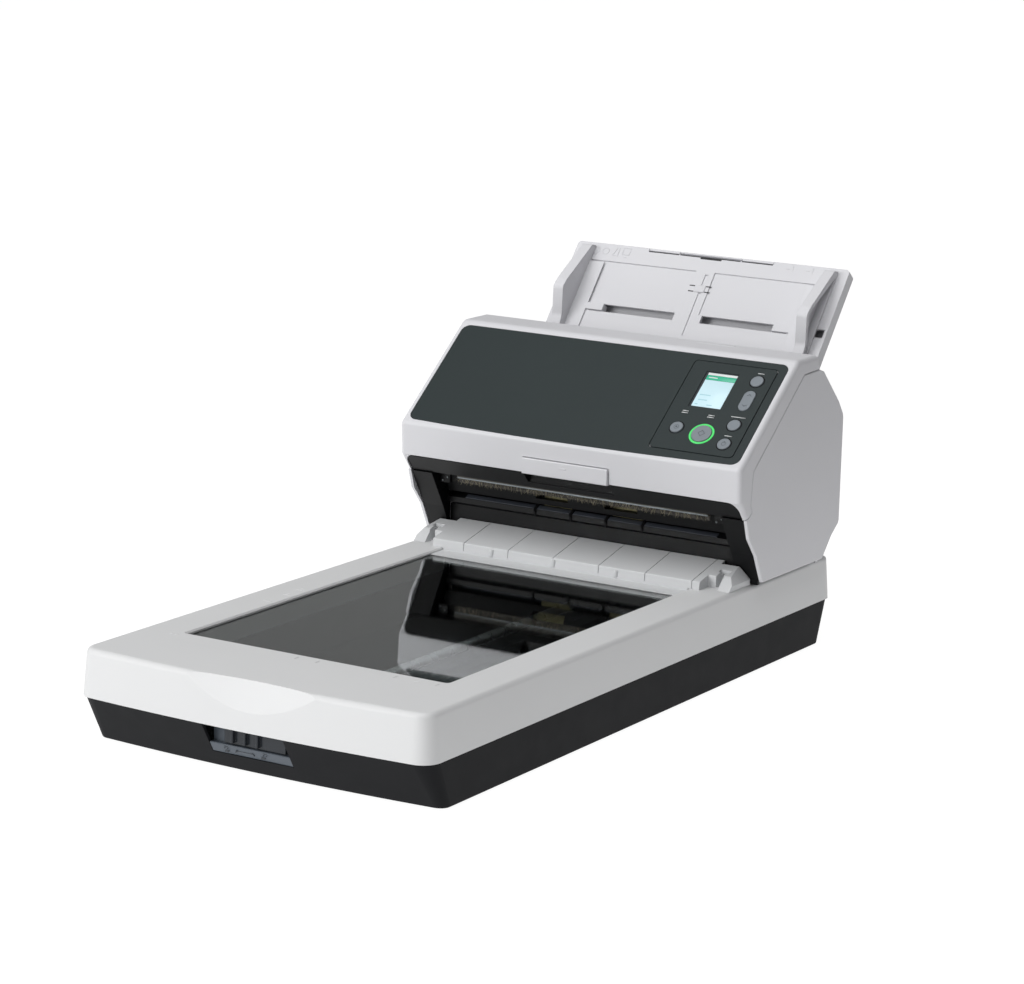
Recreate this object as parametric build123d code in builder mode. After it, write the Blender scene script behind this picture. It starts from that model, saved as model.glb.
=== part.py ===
from build123d import *
import os
from math import cos, pi, radians, sin, tan

os.makedirs("parts", exist_ok=True)

# A flatbed scanner that carries a sheet feeder over the rear of its bed.
# X runs to the operator's right, Y to the rear and Z up, in millimetres. Lengths called "from the front" are
# measured from the foremost point of the bed.

# ---------------------------------------------------------------- driving dimensions
bed_half_width = 145.0
bed_draft = 2.5
bed_length = 583.5
bed_bow = 6.2
bed_corner = 14.0
deck_height = 69.2
parting_height = 35.3
shell_bottom = 1.0
wall = 2.5

glass_half_width = 109.0
glass_front = 82.0
glass_rear = 417.0
glass_thickness = 3.0

feeder_half_width = 150.0
feeder_rear = 576.2
feeder_top = 234.0
side_wall = 2.8

panel_low = (413.4, 167.3)
panel_slope = 38.5
panel_width = 290.0
panel_length = 101.6
panel_sag = 2.6

path_low = (446.8, 106.0)
path_slope = 40.0
path_gap = 1.2

chute_foot = (594.8, 240.5)
chute_slope = 51.0
chute_top = 57.0
chute_bottom = -46.0
chute_half_width = 123.5
chute_depth = 11.0
chute_round = 2.0

hinge_axis = (539.8, 212.0)

overall_length = (chute_foot[0] + (chute_top - chute_round) * cos(radians(chute_slope))
                  + (chute_depth - chute_round) * sin(radians(chute_slope)) + chute_round)
front = -overall_length / 2


# ---------------------------------------------------------------- planes and helpers
def sloped(foot, slope):
    """A plane across the width that climbs to the rear; its local Y runs up the slope."""
    tilt = radians(slope)
    return Plane(origin=(0, front + foot[0], foot[1]), x_dir=(1, 0, 0), z_dir=(0, -sin(tilt), cos(tilt)))


def sloped_side(foot, slope):
    """The side view of such a plane: local X runs up the slope, local Y stands out of it."""
    tilt = radians(slope)
    return Plane(origin=(0, front + foot[0], foot[1]), x_dir=(0, cos(tilt), sin(tilt)), z_dir=(1, 0, 0))


side_view = Plane(origin=(0, front, 0), x_dir=(0, 1, 0), z_dir=(1, 0, 0))
panel_face = sloped(panel_low, panel_slope)
path_side = sloped_side(path_low, path_slope)
chute_face = sloped(chute_foot, chute_slope)
chute_side = sloped_side(chute_foot, chute_slope)


def level(height):
    return Plane(origin=(0, front, height))


def at(x, from_front, height):
    return Location((x, front + from_front, height))


def moved_x(plane, x):
    return Plane(origin=plane.origin + Vector(x, 0, 0), x_dir=plane.x_dir, z_dir=plane.z_dir)


def outline(plane, corners):
    """A closed outline whose corners are (x, y) or (x, y, radius)."""
    with BuildSketch(plane) as shape:
        with BuildLine():
            Polyline(*[corner[:2] for corner in corners], close=True)
        make_face()
        for corner in corners:
            if len(corner) == 3:
                fillet(shape.vertices().sort_by_distance((corner[0], corner[1], 0))[0], corner[2])
    return shape.sketch


def bed_outline(height, inset, corner, front_inset=None, rear_inset=None):
    """The bed seen from above, with its bowed front edge, drawn inwards by the inset."""
    start = inset if front_inset is None else front_inset
    half = bed_half_width - inset
    rear = bed_length - (inset if rear_inset is None else rear_inset)
    with BuildSketch(level(height)) as shape:
        with BuildLine():
            ThreePointArc((-half, bed_bow + start), (0, start), (half, bed_bow + start))
            Polyline((half, bed_bow + start), (half, rear), (-half, rear), (-half, bed_bow + start))
        make_face()
        fillet(shape.vertices(), corner)
    return shape.sketch


def along(plane, x, y, radius):
    """A round outline at (x, y) on a plane."""
    with BuildSketch(plane) as shape:
        with Locations((x, y)):
            Circle(radius)
    return shape.sketch


def keep(piece, name):
    piece.part.label = name
    export_step(piece.part, f"parts/{name}.step")


# ---------------------------------------------------------------- bed: casings
# The lower casing leans inwards at the front and the rear, and its sides are nearly upright.
parting_inset = 1.2
foot_inset = 2.0
front_lean = 22.0
rear_lean = 17.5
floor_top = shell_bottom + wall
lock_centre = -1.4
lock_width = 66.5
lock_low = 13.0
pulley_x = 28.0
idler_pulley_y = 72.0
spindle_radius = 2.5
foot_places = [(sx * 118, y) for sx in (-1, 1) for y in (44, 300, 545)]
screw_places = [(sx * 112, y) for sx in (-1, 1) for y in (66, 220, 380, 520)]
pocket_depth = 1.4


def front_wall(height):
    """How far behind the bed's front the lower casing's outer face lies at this height."""
    return parting_inset + (front_lean - parting_inset) * (parting_height - height) / (parting_height - shell_bottom)


with BuildPart() as lower_case:
    loft([bed_outline(shell_bottom, foot_inset, 8, front_lean, rear_lean),
          bed_outline(parting_height, parting_inset, bed_corner)], ruled=True)
    loft([bed_outline(floor_top, foot_inset + wall, 6, front_lean + 1.4, rear_lean + 1.4),
          bed_outline(parting_height, parting_inset + wall, bed_corner - wall)], ruled=True, mode=Mode.SUBTRACT)
    with Locations(at(lock_centre, 0, (lock_low + parting_height) / 2 + 2)):
        Box(lock_width, 38.8, parting_height - lock_low + 4, mode=Mode.SUBTRACT)
    for rod_end in (54, 484):
        with Locations(at(0, rod_end, floor_top)):
            Box(16, 7.6, 36, align=(Align.CENTER, Align.CENTER, Align.MIN))
    with Locations(at(106, 270, floor_top)):
        Box(2.4, 420, 36.5, align=(Align.CENTER, Align.CENTER, Align.MIN))
    with Locations(at(pulley_x, idler_pulley_y, floor_top)):
        Cylinder(6, 24, align=(Align.CENTER, Align.CENTER, Align.MIN))
    with Locations(at(pulley_x, idler_pulley_y, 19)):
        Cylinder(spindle_radius + 0.06, 12, align=(Align.CENTER, Align.CENTER, Align.MIN), mode=Mode.SUBTRACT)
    fillet(lower_case.faces().sort_by(Axis.Z)[0].edges(), 1.2)
    with Locations([at(x, y, shell_bottom) for x, y in foot_places]):
        Cylinder(9.3, pocket_depth, align=(Align.CENTER, Align.CENTER, Align.MIN), mode=Mode.SUBTRACT)
    with Locations([at(x, y, shell_bottom) for x, y in screw_places]):
        Cylinder(3.6, pocket_depth, align=(Align.CENTER, Align.CENTER, Align.MIN), mode=Mode.SUBTRACT)
keep(lower_case, "lower_case")

deck_skin = 2.5
with BuildPart() as upper_case:
    loft([bed_outline(parting_height, 0, bed_corner), bed_outline(deck_height, bed_draft, 12)], ruled=True)
    extrude(outline(side_view, [(-10, 30), (-10, 80), (573.4, 80), (573.4, deck_height), (bed_length, 46, 24),
                                (bed_length, 30)]), amount=bed_half_width + 1, both=True, mode=Mode.INTERSECT)
    fillet(upper_case.faces().sort_by(Axis.Z)[-1].edges(), 4)
    extrude(bed_outline(parting_height, wall + bed_draft, bed_corner - wall, front_inset=15, rear_inset=14),
            amount=deck_height - deck_skin - parting_height, mode=Mode.SUBTRACT)
    scoop_radius = 314.0
    scoop_depth = 9.0
    scoop_tilt = radians(21.5)
    scoop = Plane(origin=(5, front + scoop_depth, deck_height), x_dir=(1, 0, 0),
                  z_dir=(0, sin(scoop_tilt), cos(scoop_tilt)))
    with BuildSketch(scoop) as hand_scoop:
        with Locations((0, -scoop_radius)):
            Circle(scoop_radius)
    extrude(amount=30, both=True, mode=Mode.SUBTRACT)
    with BuildSketch(level(deck_height + 1)) as window:
        with Locations((0, (glass_front + glass_rear) / 2)):
            RectangleRounded(2 * glass_half_width, glass_rear - glass_front, 2)
    extrude(amount=-deck_skin - 2, mode=Mode.SUBTRACT)
    chamfer(upper_case.edges().filter_by_position(Axis.Z, deck_height - 0.01, deck_height + 0.01)
            .filter_by_position(Axis.X, -glass_half_width - 0.1, glass_half_width + 0.1)
            .filter_by_position(Axis.Y, front + 70, front + 430), 1.2)
keep(upper_case, "upper_case")

glass_top = deck_height - deck_skin
with BuildPart() as platen_glass:
    with Locations(at(0, (glass_front + glass_rear) / 2, glass_top)):
        Box(2 * glass_half_width + 10, glass_rear - glass_front + 10, glass_thickness,
            align=(Align.CENTER, Align.CENTER, Align.MAX))
    chamfer(platen_glass.edges().filter_by(Axis.Z), 2)
keep(platen_glass, "platen_glass")

with BuildPart() as rubber_feet:
    with Locations([at(x, y, 0) for x, y in foot_places]):
        Cylinder(9, shell_bottom + pocket_depth, align=(Align.CENTER, Align.CENTER, Align.MIN))
    chamfer(rubber_feet.faces().filter_by_position(Axis.Z, -0.01, 0.01).edges(), 0.5)
keep(rubber_feet, "rubber_feet")

screw_head = 1.2
with BuildPart() as case_screws:
    with Locations([at(x, y, shell_bottom + pocket_depth - screw_head) for x, y in screw_places]):
        Cylinder(3.2, screw_head, align=(Align.CENTER, Align.CENTER, Align.MIN))
        Cylinder(0.9, 0.8, align=(Align.CENTER, Align.CENTER, Align.MIN), mode=Mode.SUBTRACT)
keep(case_screws, "case_screws")

# ---------------------------------------------------------------- bed: transport lock
shelf_top = 20.6
lock_plate_back = 15.8
lock_back = 19.0
lock_edge = lock_low + 0.2
with BuildPart() as lock_escutcheon:
    extrude(outline(moved_x(side_view, lock_centre),
                    [(front_wall(lock_edge) + 0.7, lock_edge), (front_wall(shelf_top) + 0.7, shelf_top, 0.6),
                     (lock_plate_back, shelf_top), (lock_plate_back, parting_height - 0.4),
                     (lock_back, parting_height - 0.4), (lock_back, lock_edge)]),
            amount=lock_width / 2 - 0.2, both=True)
keep(lock_escutcheon, "lock_escutcheon")

lock_plate = 2.6
prong_reach = 3.2
with BuildPart() as transport_lock:
    with Locations(at(1.5, lock_plate_back - 0.2, shelf_top + 0.7)):
        Box(50, lock_plate, 13.4, align=(Align.CENTER, Align.MAX, Align.MIN))
    with Locations([at(x, lock_plate_back - 0.2 - lock_plate, shelf_top + 1.9) for x in (-15.9, -5.6, 4.6)]):
        Box(2.4, prong_reach, 9.5, align=(Align.CENTER, Align.MAX, Align.MIN))
    prong_face = front + lock_plate_back - 0.2 - lock_plate - prong_reach
    fillet(transport_lock.edges().filter_by(Axis.Z).filter_by_position(Axis.Y, prong_face - 0.1, prong_face + 0.1), 0.9)
keep(transport_lock, "transport_lock")

# ---------------------------------------------------------------- bed: scanning carriage and its drive
rod_height = 34.0
rod_radius = 4.0
carriage_home = 440.0
carriage_bottom = 42.0
carriage_top = 60.5
with BuildPart() as scan_carriage:
    with Locations(at(0, carriage_home, carriage_bottom)):
        Box(232, 30, carriage_top - carriage_bottom, align=(Align.CENTER, Align.CENTER, Align.MIN))
    with Locations(at(0, carriage_home, carriage_bottom + 5)):
        Box(226, 14, 20, align=(Align.CENTER, Align.CENTER, Align.MIN), mode=Mode.SUBTRACT)
    with Locations(at(0, carriage_home, rod_height - 7)):
        Box(14, 28, carriage_bottom - rod_height + 7, align=(Align.CENTER, Align.CENTER, Align.MIN))
    with Locations(at(0, carriage_home, rod_height)):
        Cylinder(rod_radius + 0.05, 40, rotation=(90, 0, 0), mode=Mode.SUBTRACT)
    with Locations([at(x, carriage_home, carriage_bottom) for x in (17.7, 20.6)]):
        Box(1, 12, 6, align=(Align.CENTER, Align.CENTER, Align.MAX))
keep(scan_carriage, "scan_carriage")

with BuildPart() as lens_bar:
    with Locations(at(0, carriage_home, carriage_bottom + 5)):
        Box(222, 6, 12, align=(Align.CENTER, Align.CENTER, Align.MIN))
    fillet(lens_bar.edges().filter_by(Axis.X).group_by(Axis.Z)[-1], 2)
    with Locations([at(0, carriage_home + dy, carriage_top) for dy in (-11, 11)]):
        Box(220, 5, 1.6, align=(Align.CENTER, Align.CENTER, Align.MIN))
keep(lens_bar, "lens_bar")

with BuildPart() as guide_rod:
    with Locations(at(0, 269, rod_height)):
        Cylinder(rod_radius, 422, rotation=(90, 0, 0))
    chamfer(guide_rod.edges().filter_by(GeomType.CIRCLE), 0.5)
keep(guide_rod, "guide_rod")

pulley_radius = 8.0
drive_pulley_y = 468.0
belt_bottom = 34.5
belt_width = 5.5
belt_clearance = 0.3
belt_thickness = 1.2
with BuildPart() as carriage_belt:
    with BuildSketch(level(belt_bottom)):
        for reach, mode in ((belt_clearance + belt_thickness, Mode.ADD), (belt_clearance, Mode.SUBTRACT)):
            with Locations((pulley_x, (drive_pulley_y + idler_pulley_y) / 2)):
                SlotCenterToCenter(drive_pulley_y - idler_pulley_y, 2 * (pulley_radius + reach),
                                   rotation=90, mode=mode)
    extrude(amount=belt_width)
keep(carriage_belt, "carriage_belt")


def toothed_pulley(centre, shaft_low):
    """A flanged belt pulley on an upright spindle."""
    with BuildPart() as pulley:
        with Locations(at(pulley_x, centre, belt_bottom - 0.4)):
            Cylinder(pulley_radius, belt_width + 0.8, align=(Align.CENTER, Align.CENTER, Align.MIN))
        with Locations(at(pulley_x, centre, belt_bottom - 1.6), at(pulley_x, centre, belt_bottom + belt_width + 0.4)):
            Cylinder(pulley_radius + 0.2, 1.2, align=(Align.CENTER, Align.CENTER, Align.MIN))
        with Locations(at(pulley_x, centre, shaft_low)):
            Cylinder(spindle_radius, belt_bottom - shaft_low, align=(Align.CENTER, Align.CENTER, Align.MIN))
    return pulley


motor_top = 30.0
drive_pulley = toothed_pulley(drive_pulley_y, motor_top - 8)
keep(drive_pulley, "carriage_drive_pulley")
idler_pulley = toothed_pulley(idler_pulley_y, 20)
keep(idler_pulley, "carriage_idler_pulley")

with BuildPart() as carriage_motor:
    with Locations(at(pulley_x, drive_pulley_y, floor_top)):
        Cylinder(17.5, motor_top - floor_top, align=(Align.CENTER, Align.CENTER, Align.MIN))
        Box(48, 14, 2, align=(Align.CENTER, Align.CENTER, Align.MIN))
    with Locations(at(pulley_x, drive_pulley_y, motor_top - 9)):
        Cylinder(2.56, 10, align=(Align.CENTER, Align.CENTER, Align.MIN), mode=Mode.SUBTRACT)
keep(carriage_motor, "carriage_motor")

# ---------------------------------------------------------------- bed: sheet ramp with the two lid hinge sockets
ramp_front = 411.0
ramp_edge = 411.6
ramp_rear = 450.6
ramp_face_top = 75.4
ramp_rear_top = 84.6
ramp_half = 118.2
recess_outer = 130.2
block_inner = 130.0
block_outer = 140.0
recess_back = 424.6
block_front = 417.4
socket_centre = 127.5
socket_width = 5.0
bevel_centre = (145.3, 83.4)
bevel_angle = 56.3
ramp_rise = (ramp_rear_top - ramp_face_top) / (ramp_rear - ramp_edge)
glass_face = deck_height - deck_skin + 0.1
tongue_half = 108.4


def ramp_top(from_front):
    return ramp_face_top + ramp_rise * (from_front - ramp_edge)


block_rear = [(ramp_rear - 0.3, deck_height), (ramp_rear - 0.3, 73.6), (445.2, ramp_top(445.2), 0.8)]
inner_block = [*block_rear, (recess_back, ramp_top(recess_back), 1.2), (recess_back, deck_height)]
outer_block = [*block_rear, (427.0, ramp_top(427.0), 2), (block_front, deck_height)]
groove_spacing = 40.3
groove_shift = -9.2
groove_depth = 0.7


def hinge_block(sign):
    """The solid outer block beside one of the lid's hinge sockets, with its outer top edge cut away."""
    low, high = sorted((sign * block_inner, sign * block_outer))
    with BuildPart() as block:
        extrude(outline(moved_x(side_view, low), outer_block), amount=high - low)
        with Locations(at(sign * bevel_centre[0], 433, bevel_centre[1]) * Rotation(0, sign * bevel_angle, 0)):
            Box(40, 60, 20, mode=Mode.SUBTRACT)
    return block.part


with BuildPart() as exit_ramp:
    extrude(outline(side_view, [(ramp_rear, deck_height), (ramp_rear, ramp_rear_top),
                                (ramp_edge, ramp_face_top, 1.2), (ramp_front, deck_height)]),
            amount=ramp_half, both=True)
    extrude(outline(side_view, [(ramp_rear - 2.4, deck_height), (ramp_rear - 2.4, ramp_rear_top - 3),
                                (ramp_edge + 2.4, ramp_face_top - 2.4), (ramp_front + 2.4, deck_height)]),
            amount=ramp_half - 2.4, both=True, mode=Mode.SUBTRACT)
    extrude(outline(side_view, [(393.5, glass_face), (393.5, glass_face + 0.9), (ramp_front, glass_face + 0.9),
                                (ramp_front, deck_height + 0.6), (416.6, deck_height + 0.6), (416.6, glass_face)]),
            amount=tongue_half, both=True)
    for sign in (-1, 1):
        inner_face = moved_x(side_view, ramp_half if sign > 0 else -recess_outer)
        extrude(outline(inner_face, inner_block), amount=recess_outer - ramp_half)
        with Locations(at(sign * socket_centre, ramp_front, deck_height + 0.8)):
            Box(socket_width, 25, 30, align=(Align.CENTER, Align.MIN, Align.MIN), mode=Mode.SUBTRACT)
        add(hinge_block(sign))
        with Locations(at(sign * socket_centre, 431.5, deck_height + 8.8)):
            Box(9, 4.5, 20, align=(Align.CENTER, Align.MIN, Align.MIN), mode=Mode.SUBTRACT)
    for x in [groove_shift + groove_spacing * n for n in range(-2, 4)]:
        groove = outline(moved_x(side_view, x - 0.3), [
            (ramp_rear + 1, ramp_rear_top + 1), (ramp_rear + 1, ramp_rear_top - groove_depth),
            (ramp_edge + groove_depth, ramp_face_top - groove_depth), (ramp_front + groove_depth, deck_height + 0.2),
            (ramp_front - 1, deck_height + 0.2), (ramp_front - 1, ramp_rear_top + 1)])
        extrude(groove, amount=0.6, mode=Mode.SUBTRACT)
keep(exit_ramp, "exit_ramp")

# ---------------------------------------------------------------- feeder: side panels and rear cover
seam = [(532.2, 223.4), (506.2, 222.5, 4), (429.1, 160.2, 5), (427.0, 134.8, 3), (429.7, 129.7, 2),
        (422.1, 124.4)]
seam_gap = 0.8
panel_outline = [(532.2, 223.4 - seam_gap), (506.2 + 0.2, 222.5 - seam_gap, 4), (429.1 + seam_gap, 160.0, 5),
                 (427.0 + seam_gap, 134.8, 3), (429.7 + seam_gap, 129.5, 2), (422.5, 124.0),
                 (427.6, 109.2), (440.0, 94.5), (451.6, 72.0), (550.0, 72.0), (563.9, 87.5, 4),
                 (feeder_rear, 96.5, 5), (feeder_rear, 181.5, 10), (567.0, 193.6, 4), (539.6, 220.3, 4)]


def side_panel(sign):
    start = feeder_half_width - side_wall
    with BuildPart() as panel:
        extrude(outline(moved_x(side_view, start if sign > 0 else -feeder_half_width), panel_outline),
                amount=side_wall)
        outer = panel.faces().sort_by(Axis.X)[-1 if sign > 0 else 0]
        chamfer(outer.edges(), 0.5)
    return panel


right_side_panel = side_panel(1)
keep(right_side_panel, "right_side_panel")
left_side_panel = side_panel(-1)
keep(left_side_panel, "left_side_panel")

inner_half_width = feeder_half_width - side_wall - 0.2
port_height = 112.0
rear_board = 566.0
with BuildPart() as rear_cover:
    extrude(outline(side_view, [(547.0, deck_height + 0.3), (552.5, 75.5), (563.9, 87.5, 4), (feeder_rear, 96.5, 5),
                                (feeder_rear, 181.5, 10), (567.0, 193.6), (564.8, 191.9), (573.7, 180.5, 8),
                                (573.7, 97.6, 4), (562.2, 89.0, 4), (549.8, 76.5), (544.0, deck_height + 0.3)]),
            amount=inner_half_width, both=True)
    with Locations(at(-108, feeder_rear, port_height)):
        Box(13, 20, 13, mode=Mode.SUBTRACT)
    with Locations(at(-84, feeder_rear, port_height)):
        Box(13, 20, 12, mode=Mode.SUBTRACT)
    with Locations(at(-62, feeder_rear, port_height)):
        Box(17, 20, 14.4, mode=Mode.SUBTRACT)
    vents = [at(x, feeder_rear, 150) for x in range(40, 121, 8)]
    with Locations(vents):
        Box(3, 20, 36, mode=Mode.SUBTRACT)
keep(rear_cover, "rear_cover")

with BuildPart() as main_board:
    with Locations(at(0, rear_board - 1.6, 134)):
        Box(236, 1.6, 76, align=(Align.CENTER, Align.MIN, Align.CENTER))
    with Locations([at(x, rear_board, z) for x, z in ((20, 150), (-30, 156))]):
        Box(22, 2.4, 22, align=(Align.CENTER, Align.MIN, Align.CENTER))
keep(main_board, "main_board")

port_depth = feeder_rear - rear_board - 0.4
with BuildPart() as power_inlet:
    with Locations(at(-108, rear_board, port_height)):
        Box(12, port_depth, 12, align=(Align.CENTER, Align.MIN, Align.CENTER))
    with Locations(at(-108, feeder_rear - 5, port_height)):
        Cylinder(4.2, 12, rotation=(90, 0, 0), mode=Mode.SUBTRACT)
    with Locations(at(-108, rear_board + 5, port_height)):
        Cylinder(1.1, 8, rotation=(90, 0, 0))
keep(power_inlet, "power_inlet")

with BuildPart() as usb_port:
    with Locations(at(-84, rear_board, port_height)):
        Box(12, port_depth, 11, align=(Align.CENTER, Align.MIN, Align.CENTER))
    with Locations(at(-84, feeder_rear, port_height)):
        Box(9.4, 16, 8.6, mode=Mode.SUBTRACT)
    with Locations(at(-84, rear_board + 2.2, port_height)):
        Box(5.6, 6, 3.2, align=(Align.CENTER, Align.MIN, Align.CENTER))
keep(usb_port, "usb_port")

with BuildPart() as network_port:
    with Locations(at(-62, rear_board, port_height)):
        Box(16, port_depth, 13.4, align=(Align.CENTER, Align.MIN, Align.CENTER))
    with Locations(at(-62, feeder_rear, port_height - 0.6)):
        Box(12, 16, 8.4, mode=Mode.SUBTRACT)
        Box(6, 16, 11.2, mode=Mode.SUBTRACT)
keep(network_port, "network_port")

# ---------------------------------------------------------------- feeder: lower sheet guide and mouth
guide_half_width = 128.0
eject_p = 13.3
feed_p = 86.0
pick_p = 126.6
sensor_p = 49.0
eject_radius = 9.1
feed_radius = 9.1
pick_radius = 11.6
shaft_radius = 3.0
tyre_half = 13.5
tyre_places = (-30.7, 30.7)
motor_at = (520.0, 104.0)
path_tan = tan(radians(path_slope))
gap_rise = path_gap / cos(radians(path_slope))


def path_height(from_front):
    return path_low[1] + (from_front - path_low[0]) * path_tan


def under_path(from_front):
    return (from_front, path_height(from_front) - gap_rise)


def over_path(from_front):
    return (from_front, path_height(from_front) + gap_rise)


with BuildPart() as lower_guide:
    extrude(outline(side_view, [(451.2, deck_height + 0.4), (451.2, 95.4), (446.9, 97.8), (447.2, 101.8),
                                (455.4, 105.8), under_path(455.8), under_path(562.0), (562.0, 95.0),
                                (543.0, 76.0), (543.0, deck_height + 0.4)]),
            amount=guide_half_width, both=True)
    extrude(outline(side_view, [(453.7, deck_height + 3), (453.7, 98.6), (457.9, 102.6),
                                (457.9, under_path(457.9)[1] - 3.4), (559.5, under_path(559.5)[1] - 3.4),
                                (559.5, 96.0), (540.5, 77.0), (540.5, deck_height + 3)]),
            amount=guide_half_width - wall, both=True, mode=Mode.SUBTRACT)
    for sign in (-1, 1):
        start = moved_x(side_view, guide_half_width if sign > 0 else -inner_half_width + 0.6)
        extrude(outline(start, [(422.7, 124.0), (440.4, 94.5, 6), (450.8, 74.2), (450.8, deck_height + 0.4),
                                (453.4, deck_height + 0.4), (453.4, 76.0), (450.4, 84.0), (450.4, 117.0),
                                (437.0, 124.0)]),
                amount=inner_half_width - 0.6 - guide_half_width)
    fins = [sx * x for sx in (-1, 1) for x in (15.7, 47.7)]
    for x in fins:
        extrude(outline(moved_x(side_view, x - 0.9), [(446.9, 96.0), (445.6, 100.5), (456.0, 111.0),
                                                      (458.0, 111.0), (458.0, 101.0)]), amount=1.8)
    for place, radius in ((eject_p, eject_radius), (feed_p, feed_radius), (pick_p, pick_radius)):
        for x in tyre_places:
            cutter = moved_x(path_side, x - tyre_half - 1)
            extrude(along(cutter, place, -radius, radius + 1), amount=2 * tyre_half + 2, mode=Mode.SUBTRACT)
        extrude(along(path_side, place, -radius, shaft_radius + 0.05), amount=160, both=True, mode=Mode.SUBTRACT)
    extrude(along(moved_x(side_view, -140), *motor_at, 3.4), amount=20, mode=Mode.SUBTRACT)
    extrude(outline(path_side, [(sensor_p - 10.6, -5), (sensor_p + 10.6, -5), (sensor_p + 10.6, 3),
                                (sensor_p - 10.6, 3)]),
            amount=113, both=True, mode=Mode.SUBTRACT)
keep(lower_guide, "lower_guide")

with BuildPart() as lower_image_sensor:
    extrude(outline(path_side, [(sensor_p - 10, -16), (sensor_p + 10, -16), (sensor_p + 10, -path_gap - 0.1),
                                (sensor_p - 10, -path_gap - 0.1)]), amount=112, both=True)
keep(lower_image_sensor, "lower_image_sensor")

# ---------------------------------------------------------------- feeder: driven rollers and their belt
pulley_r = 9.0
drive_pulley_left = -138.6
drive_pulley_width = 6.4
driven = {"eject": (eject_p, eject_radius), "feed": (feed_p, feed_radius), "pick": (pick_p, pick_radius)}
for name, (place, radius) in driven.items():
    centre = path_side.from_local_coords(Vector(place, -radius, 0))
    with BuildPart() as shaft:
        with Locations(centre + Vector(-3.6, 0, 0)):
            Cylinder(shaft_radius, 270, rotation=(0, 90, 0))
        chamfer(shaft.edges().filter_by(GeomType.CIRCLE), 0.4)
        with Locations(centre + Vector(drive_pulley_left + drive_pulley_width / 2, 0, 0)):
            Cylinder(pulley_r, drive_pulley_width, rotation=(0, 90, 0))
    keep(shaft, f"{name}_shaft")
    with BuildPart() as tyres:
        with Locations([centre + Vector(x, 0, 0) for x in tyre_places]):
            Cylinder(radius - 0.15, 2 * tyre_half, rotation=(0, 90, 0))
        chamfer(tyres.edges().filter_by(GeomType.CIRCLE), 0.6)
        with Locations([centre + Vector(x, 0, 0) for x in tyre_places]):
            Cylinder(shaft_radius, 2 * tyre_half, rotation=(0, 90, 0), mode=Mode.SUBTRACT)
    keep(tyres, f"{name}_tyres")

motor_centre = Vector(0, front + motor_at[0], motor_at[1])
motor_pulley_r = 6.0
with BuildPart() as feeder_motor:
    with Locations(motor_centre + Vector(-guide_half_width + wall, 0, 0)):
        Cylinder(20, 44, rotation=(0, 90, 0), align=(Align.CENTER, Align.CENTER, Align.MIN))
    with Locations(motor_centre + Vector(-guide_half_width + wall, 0, 0)):
        Cylinder(2.56, 16, rotation=(0, 90, 0), align=(Align.CENTER, Align.CENTER, Align.MIN), mode=Mode.SUBTRACT)
keep(feeder_motor, "feeder_motor")

with BuildPart() as motor_pulley:
    with Locations(motor_centre + Vector(drive_pulley_left + drive_pulley_width / 2, 0, 0)):
        Cylinder(motor_pulley_r, drive_pulley_width, rotation=(0, 90, 0))
    with Locations(motor_centre + Vector(drive_pulley_left + drive_pulley_width, 0, 0)):
        Cylinder(2.5, 20, rotation=(0, 90, 0), align=(Align.CENTER, Align.CENTER, Align.MIN))
keep(motor_pulley, "motor_pulley")


def belt_loop(reach):
    """The area inside a band round the four pulleys, standing off them by the reach."""
    with BuildSketch(moved_x(side_view, drive_pulley_left + 0.4)) as loop:
        for place, radius in driven.values():
            spot = path_side.from_local_coords(Vector(place, -radius, 0))
            with Locations((spot.Y - front, spot.Z)):
                Circle(pulley_r + reach)
        with Locations(motor_at):
            Circle(motor_pulley_r + reach)
        make_hull()
    return loop.sketch


with BuildPart() as feeder_belt:
    extrude(belt_loop(belt_clearance + belt_thickness), amount=drive_pulley_width - 0.8)
    extrude(belt_loop(belt_clearance), amount=drive_pulley_width - 0.8, mode=Mode.SUBTRACT)
keep(feeder_belt, "feeder_belt")

with BuildPart() as hinge_pins:
    for x in (-inner_half_width, 138.6):
        extrude(along(moved_x(side_view, x), *hinge_axis, 4.0), amount=inner_half_width - 138.6)
    chamfer(hinge_pins.edges().filter_by(GeomType.CIRCLE), 0.4)
keep(hinge_pins, "hinge_pins")

# ---------------------------------------------------------------- feeder cover
def panel_sheet(height, grow):
    """The dark front panel's outline, with its lower edge bowed downwards."""
    half = panel_width / 2 + grow
    low = -0.2 - grow
    high = panel_length + grow
    with BuildSketch(panel_face.offset(height)) as sheet:
        with BuildLine():
            ThreePointArc((-half, low), (0, low - panel_sag), (half, low))
            Polyline((half, low), (half, high), (-half, high), (-half, low))
        make_face()
        fillet(sheet.vertices(), 7)
    return sheet.sketch


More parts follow.
